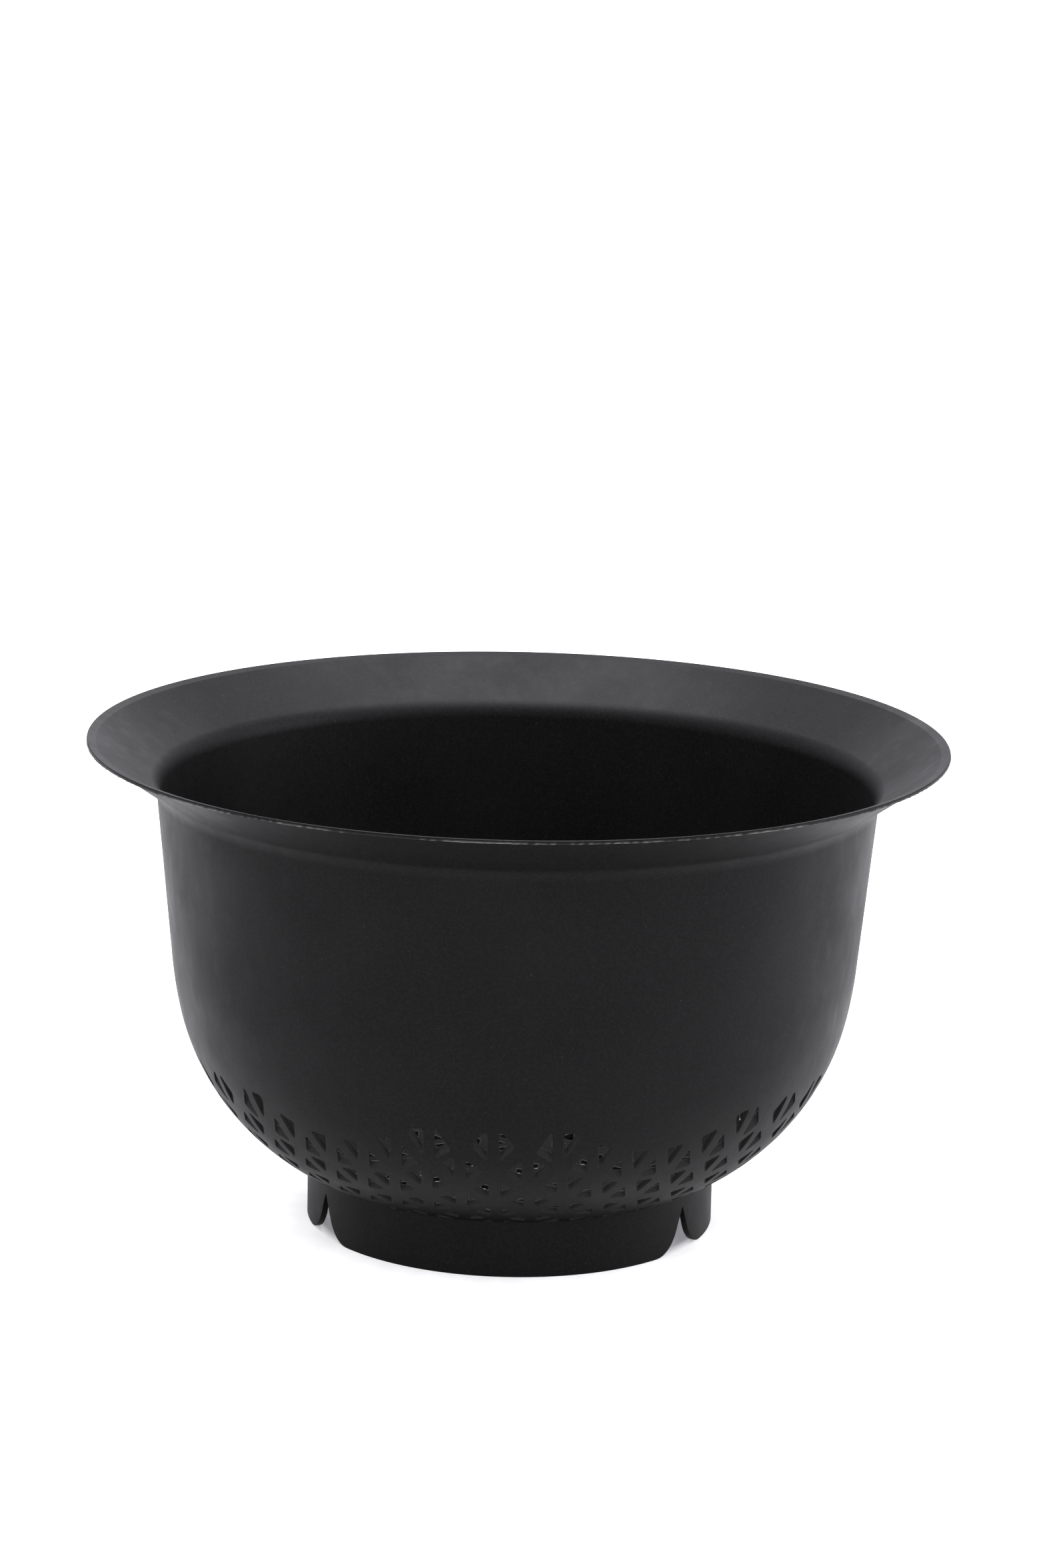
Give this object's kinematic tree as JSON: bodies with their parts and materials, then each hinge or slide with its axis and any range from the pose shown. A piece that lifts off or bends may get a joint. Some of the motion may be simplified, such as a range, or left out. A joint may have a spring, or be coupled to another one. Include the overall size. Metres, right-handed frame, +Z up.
{
  "type": "draining bowl",
  "caption": "Round footed plastic bowl with a flared rim, a lower wall and floor pierced by a triangular grid, and a foot ring cut into lobes by drain notches.",
  "frame": {"origin": "centre of the circle that the foot rests on, on the bowl's axis", "axes": "+Z up along the bowl's axis, -Y through the middle of the front foot lobe, +X to the right of it"},
  "size_m": [0.264, 0.264, 0.1522],
  "materials": {
    "black_plastic": "matte fine-grained injection-moulded"
  },
  "bodies": {
    "root": {"rim_lip": "black_plastic", "rim_flange": "black_plastic", "upper_wall": "black_plastic", "strainer_wall": "black_plastic", "strainer_floor": "black_plastic", "foot_lobe_front": "black_plastic", "foot_lobe_right": "black_plastic", "foot_lobe_left": "black_plastic"}
  },
  "joints": []
}
